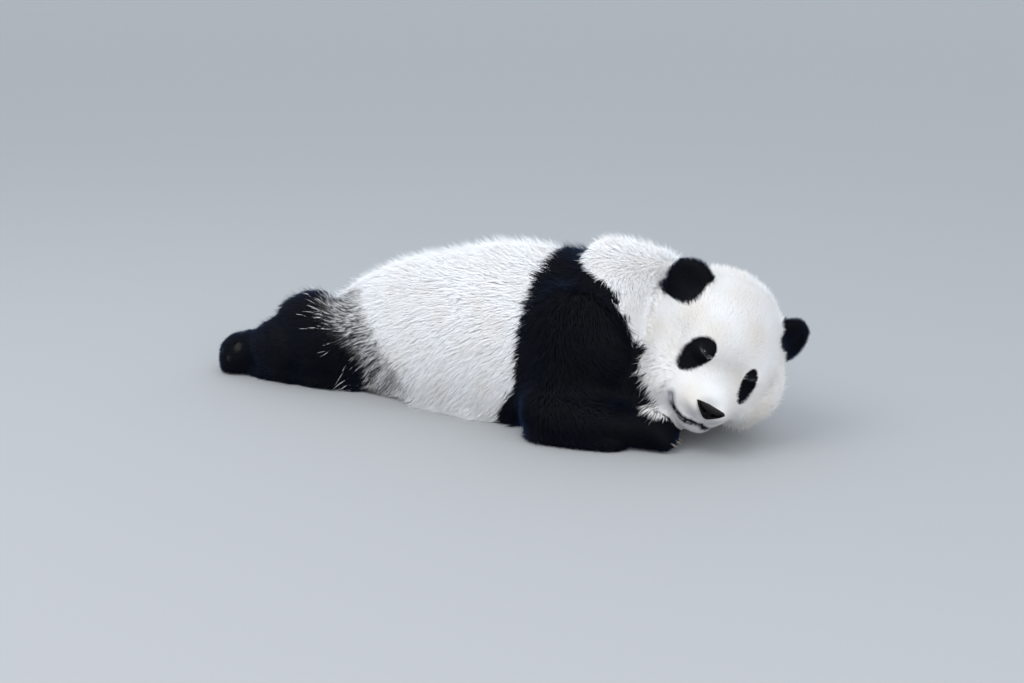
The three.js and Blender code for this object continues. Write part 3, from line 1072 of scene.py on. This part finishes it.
def rooted():
    """The tufts' roots, spread over the skin as thick as the coat table says, and its leans."""
    soft = unit(blur(skin_normals, skin_edges, 3))
    lie = lie_of_coat(skin_points, soft, skin_parts, skin_edges)
    table = coat_table(skin_points, skin_parts, skin_edges)
    corners = skin_points[skin_triangles]
    sides = corners[:, 1:] - corners[:, :1]
    areas = np.linalg.norm(np.cross(sides[:, 0], sides[:, 1]), axis=1) / 2
    length, width, layers = table[skin_triangles].mean(1)[:, [LENGTH, WIDTH, LAYERS]].T
    down = -soft[skin_triangles].mean(1)[:, 2]
    # Few tufts stand where the animal lies on the floor.
    covered = rise(0.55, 0.85, down) * rise(0.045, 0.02, corners[:, :, 2].mean(1))
    cover = length * width / 2 * MM**2
    chosen, shares = scattered(areas / cover * layers * (1 - 0.9 * covered))
    marks = shares[:, :, None]
    root, up, way, coat = (
        (values[skin_triangles[chosen]] * marks).sum(1) for values in (skin_points, soft, lie, table)
    )
    up = unit(up)
    tufts = {
        "root": root,
        "up": up,
        "way": unit(flat(way, up)),
        "coat": coat,
        "uv": (skin_uv[chosen] * marks).sum(1),
        "by_foreleg": (by_foreleg[skin_triangles[chosen]] * shares).sum(1),
        "part": skin_parts[skin_triangles[chosen, 0]],
    }
    keep = ~bare_places(root)
    return {key: value[keep] for key, value in tufts.items()}


def shaped_tufts():
    """Every tuft of the coat, with its length, width and bend."""
    tufts = rooted()
    root, coat = tufts["root"], tufts["coat"]
    local = on_head(root)
    count = len(root)
    high = rise(200, 290, root[:, 2] / MM)
    loose = (STRAY[0] + (STRAY[1] - STRAY[0]) * high) * (1 - 0.8 * mixed_colours(root))
    stray = (chance.random(count) < loose).astype(float)
    beside_slit = 0.25 + 0.75 * rise(2, 13, gap_to_slits(local))
    beside_mouth = 0.45 + 0.55 * rise(3, 12, near_line(local, mouth_line))
    stretch = (1 + 0.2 * stray * rise(10, 25, coat[:, LENGTH])) * (1 - 0.5 * grizzled(root))
    length = coat[:, LENGTH] * MM * chance.uniform(*LENGTHS, count)
    tufts["length"] = length * beside_slit * beside_mouth * stretch
    width = coat[:, WIDTH] * MM * chance.uniform(*WIDTHS, count)
    tufts["width"] = width * (1 + stray * (0.15 * high - 0.35))
    bent(tufts, coat[:, ROOT_LEAN], coat[:, TIP_LEAN], stray)
    for key in ("middle", "tip"):
        laid_on_floor(tufts[key], tufts["up"])
        tufts[key][:, 2] = np.minimum(tufts[key][:, 2], CAD_BOX[1][2] + TIP_REACH)
    return tufts


def black_ones(tufts):
    """True for the tufts of black hair."""
    root, tip, coat, part = (tufts[key] for key in ("root", "tip", "coat", "part"))
    local = on_head(root)
    count = len(root)
    # The colour is looked up where a tuft of the usual length would end.
    usual = np.minimum(coat[:, LENGTH] * MM / tufts["length"], 2.0)
    seen_at = root + (tip - root) * (0.8 * usual)[:, None]
    share = np.maximum(blackness(seen_at, part), tufts["by_foreleg"])
    # Where black and white mix before the haunch, neighbouring tufts share a colour in locks.
    luck = chance.random(count)
    noise = ripple(root * (0.4, 1, 1), 0.0055, 9) + 0.45 * chance.normal(0, 1, count)
    luck += (rise(-1.2, 1.2, noise) - luck) * grizzled(root)
    black = luck < share
    # The mouth is a dark line, and a few pale tufts at the inner corners of the eyes are a painted
    # glint of the wet corner.
    in_line = 0.92 * rise(10, 5, near_line(local, mouth_line)) * mouth_strength(local)
    black |= of_head(part) & (chance.random(count) < in_line)
    for eye in EYES.values():
        corner_glint = np.linalg.norm(local - np.array(eye["inner"]), axis=1) < 6
        black &= ~(corner_glint & (chance.random(count) < 0.2))
    return black


def tinted(tufts):
    """Adds how each tuft's tone varies, how stained it is and, on the muzzle, its grey-mauve blush,
    partly the lips' own tint and partly painted shade on the lips, under the nose and on the lower
    jaw.
    """
    root, part = tufts["root"], tufts["part"]
    local = on_head(root)
    face = of_head(part)
    # Greyer on the lips, under the nose and on the lower jaw: partly the skin's grey-mauve, partly
    # painted shade.
    under_nose = rise(60, 30, np.linalg.norm(local - NOSE_AT, axis=1)) * rise(-56, -72, local[:, 2])
    lips = rise(17, 5, near_line(local, mouth_line))
    blush_and_shade = np.maximum.reduce([lips, 0.5 * (part == JAW), 0.8 * under_nose])
    warm = (0.16 + 0.1 * beside_face(local)) * face
    tufts["vary"] = chance.random(len(root))
    tufts["stain"] = np.clip(0.05 + warm + 0.13 * ripple(root, 0.06, 8), 0, 1)
    tufts["blush_and_shade"] = 0.75 * blush_and_shade * face


def build_coat():
    tufts = shaped_tufts()
    black = black_ones(tufts)
    tinted(tufts)
    long = (tufts["length"] > LONG) & (grizzled(tufts["root"]) < 0.5)
    for name, material, colour in (
        ("white_coat", WHITE_HAIR, ~black),
        ("black_coat", BLACK_HAIR, black),
    ):
        for kind, form, size in (("long", spindles, long), ("short", needles, ~long)):
            picked = {key: value[colour & size] for key, value in tufts.items()}
            coat_pieces(f"{name}_{kind}", material, form, picked)


skin_uv = unwrapped(skin)
build_coat()

# ---------------------------------------------------------------- nose, eyes and claws

# On the nose in mm: out from its middle, and up.
NOSTRIL = np.array([8.5, -3.5])
WING_SLIT = np.array([(10, -2.5), (14, -2), (19, -0.5), (23, 2)], float)
NOSE_DEPTH, NOSE_WIDTH, NOSE_ABOVE, NOSE_BELOW = 15, 31, 4.5, 21.5  # from the middle
RIM_HEIGHT, HOLE_DEPTH, GROOVE_DEPTH = 1.3, 8.5, 1.6  # of the nostrils, and between them
NOSE_YAW, NOSE_DROP = (math.radians(a) for a in (-8, 8))
NOSE_TURN = np.array(Matrix.Rotation(NOSE_YAW, 3, "Z") @ Matrix.Rotation(NOSE_DROP, 3, "Y"))


def round_points(detail):
    """An even ball of triangles with a radius of 1, to be shaped."""
    shape = bmesh.new()
    bmesh.ops.create_icosphere(shape, subdivisions=detail, radius=1)
    points = np.array([v.co for v in shape.verts])
    triangles = np.array([[v.index for v in face.verts] for face in shape.faces])
    shape.free()
    return points, triangles


def build_nose():
    """A flat-topped pad that narrows down to the cleft, with comma-shaped nostrils."""
    points, triangles = round_points(6)
    x, y, z = points.T
    narrow = 1 - 0.62 * rise(0.3, -1.0, z)
    high = np.where(z > 0, NOSE_ABOVE, NOSE_BELOW) * np.sign(z) * np.abs(z) ** 0.85
    wide = NOSE_WIDTH * np.sign(y) * np.abs(y) ** 0.85 * narrow
    pad = np.stack([NOSE_DEPTH * np.sign(x) * np.abs(x) ** 0.8, wide, high], axis=1)
    pad[:, 0] -= 0.5 * np.maximum(pad[:, 2] - 1, 0) + 0.006 * pad[:, 1] ** 2
    front = rise(0, 0.3, x)
    beside = np.stack([np.abs(pad[:, 1]), pad[:, 2]], axis=1)
    opening = np.linalg.norm(beside - NOSTRIL, axis=1)
    slit = near_line(beside, WING_SLIT)
    hole = np.maximum(rise(4.6, 1.6, opening), 0.8 * rise(2.6, 0.6, slit)) * front
    rim = np.maximum(rise(8, 5, opening), rise(6, 3, slit)) * front
    groove = rise(2.0, 0.4, np.abs(pad[:, 1])) * rise(0, -4, pad[:, 2]) * front
    pad[:, 0] += RIM_HEIGHT * rim - HOLE_DEPTH * hole - GROOVE_DEPTH * groove
    mesh = triangle_mesh("nose_leather", from_head(pad @ NOSE_TURN.T + NOSE_AT), triangles)
    # How deep into a nostril each point lies, read as painted shade.
    write_value(mesh, "nostril_shade", hole)
    mesh.materials.append(nose_material())
    piece = add_piece("nose_leather", mesh)
    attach(piece, "root")
    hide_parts("nose")


CORNEA = 1.1  # height of its dome
BALL_GAP = 0.6  # between the eyeball and the lids over it


def build_eye(side):
    """An eyeball with the low dome of the cornea, looking out between the lids."""
    middle = np.array(EYES[side]["middle"], float)
    look = unit(middle + (40, 0, -10))
    points, triangles = round_points(5)
    facing = points @ look
    dome = CORNEA * rise(0.80, 1.0, facing)
    ball = points * (EYE_RADIUS - BALL_GAP + dome)[:, None] + middle
    mesh = triangle_mesh(f"eyeball_{side}", from_head(ball), triangles)
    write_value(mesh, "rim", rise(0.84, 0.78, facing))
    mesh.materials.append(eye_material())
    piece = add_piece(f"eyeball_{side}", mesh)
    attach(piece, "root")
    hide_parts(f"eye_{side}")


CLAW_RINGS, CLAW_SIDES, CLAW_RADIUS = 14, 12, 4.6 * MM
CLAW_CURL = 2.5 * MM  # how far a claw bows from a straight line
CLAW_OVAL = (0.78, 1.15)  # half width and half height, as shares of the radius


def claw_shape(base, tip, curl):
    """Points and triangles of one claw: an oval section on a curve, tapering to a blunt point."""
    share = np.linspace(-0.15, 1, CLAW_RINGS)[:, None]
    bow = 4 * share * (1 - share) * np.array([0, 0, curl])
    line = base + (tip - base) * share + bow
    ahead = unit(np.gradient(line, axis=0))
    across = unit(np.cross(ahead, (0, 0, 1)))
    high = np.cross(across, ahead)
    angle = np.linspace(0, 2 * math.pi, CLAW_SIDES, endpoint=False)
    radius = CLAW_RADIUS * np.clip(1 - share, 0.0, 1) ** 0.7
    ring = across[:, None] * (CLAW_OVAL[0] * np.cos(angle))[None, :, None]
    ring = ring + high[:, None] * (CLAW_OVAL[1] * np.sin(angle))[None, :, None]
    rings = (line[:, None] + ring * radius[:, None])[:-1].reshape(-1, 3)
    points = np.concatenate([rings, line[:1], line[-1:]])
    start, end = len(rings), len(rings) + 1
    triangles = []
    for i in range(CLAW_SIDES):
        j = (i + 1) % CLAW_SIDES
        triangles.append((start, j, i))
        last = (CLAW_RINGS - 2) * CLAW_SIDES
        triangles.append((end, last + i, last + j))
        for row in range(0, last, CLAW_SIDES):
            triangles.append((row + i, row + j, row + CLAW_SIDES + j))
            triangles.append((row + i, row + CLAW_SIDES + j, row + CLAW_SIDES + i))
    along = np.concatenate([np.repeat(share[:-1, 0], CLAW_SIDES), [0, 1]])
    return points, np.array(triangles), np.clip(along, 0, 1)


def build_claws(paw, curl, material):
    nodes = [f"{paw}_claw_{number}" for number in range(1, 6)]
    shapes = [claw_shape(*claw_ends(node), curl) for node in nodes]
    size = len(shapes[0][0])
    points = np.concatenate([shape[0] for shape in shapes])
    triangles = np.concatenate([shape[1] + size * i for i, shape in enumerate(shapes)])
    mesh = triangle_mesh(f"{paw}_claws", points, triangles)
    write_value(mesh, "along", np.concatenate([shape[2] for shape in shapes]))
    mesh.materials.append(material)
    piece = add_piece(f"{paw}_claws", mesh)
    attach(piece, "root")
    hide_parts(*nodes)


build_nose()
claw_horn = claw_material()
for side in ("right", "left"):
    build_eye(side)
    build_claws(f"forepaw_{side}", CLAW_CURL, claw_horn)
    build_claws(f"hind_foot_{side}", -CLAW_CURL, claw_horn)

# ---------------------------------------------------------------- stage

FLOOR_REACH = 40.0
KEY_POWER, FILL_POWER, SKY_STRENGTH = 60, 57, 1.26
CAMERA_AT = (1.6017, -2.4077, 0.916)
CAMERA_DOWN, CAMERA_TURN = 15.4, 33  # degrees below level, and to the left of looking along +Y
LENS, SENSOR = 49.43, 36


def paper_material():
    """Studio background paper: pale, uncoated and quite matt."""
    material, tree = new_material("matt_paper")
    looks = {"Base Color": linear("#a2a3a3"), "Roughness": 0.9}
    shader = add_node(tree, "ShaderNodeBsdfPrincipled", None, looks)
    add_node(tree, "ShaderNodeOutputMaterial", None, {"Surface": shader.outputs[0]})
    return material


floor_corners = np.array([(-1, -1, 0), (1, -1, 0), (1, 1, 0), (-1, 1, 0)]) * FLOOR_REACH
floor_mesh = triangle_mesh("floor", floor_corners, np.array([(0, 1, 2), (0, 2, 3)]))
floor_mesh.materials.append(paper_material())
floor = add_piece("floor", floor_mesh)


def add_light(name, place, aim, size, power):
    lamp = bpy.data.lights.new(name, "AREA")
    lamp.shape = "DISK"
    lamp.size = size
    lamp.energy = power
    holder = bpy.data.objects.new(name, lamp)
    holder.location = place
    holder.rotation_euler = (Vector(aim) - Vector(place)).to_track_quat("-Z", "Y").to_euler()
    bpy.context.scene.collection.objects.link(holder)


add_light("key", (-0.9, -2.2, 3.3), (0.1, 0, 0.15), 2.6, KEY_POWER)
add_light("fill", (3.0, -2.7, 1.5), (0.3, 0, 0.15), 3.0, FILL_POWER)

world = bpy.data.worlds.new("studio")
bpy.context.scene.world = world
world.use_nodes = True
sky = world.node_tree.nodes["Background"].inputs
sky["Color"].default_value = linear("#e8f0fb")
sky["Strength"].default_value = SKY_STRENGTH

camera_data = bpy.data.cameras.new("camera")
camera_data.lens = LENS
camera_data.sensor_width = SENSOR
camera = bpy.data.objects.new("camera", camera_data)
camera.location = CAMERA_AT
camera.rotation_euler = (math.radians(90 - CAMERA_DOWN), 0, math.radians(CAMERA_TURN))
bpy.context.scene.collection.objects.link(camera)
bpy.context.scene.camera = camera
bpy.context.scene.view_settings.view_transform = "Standard"
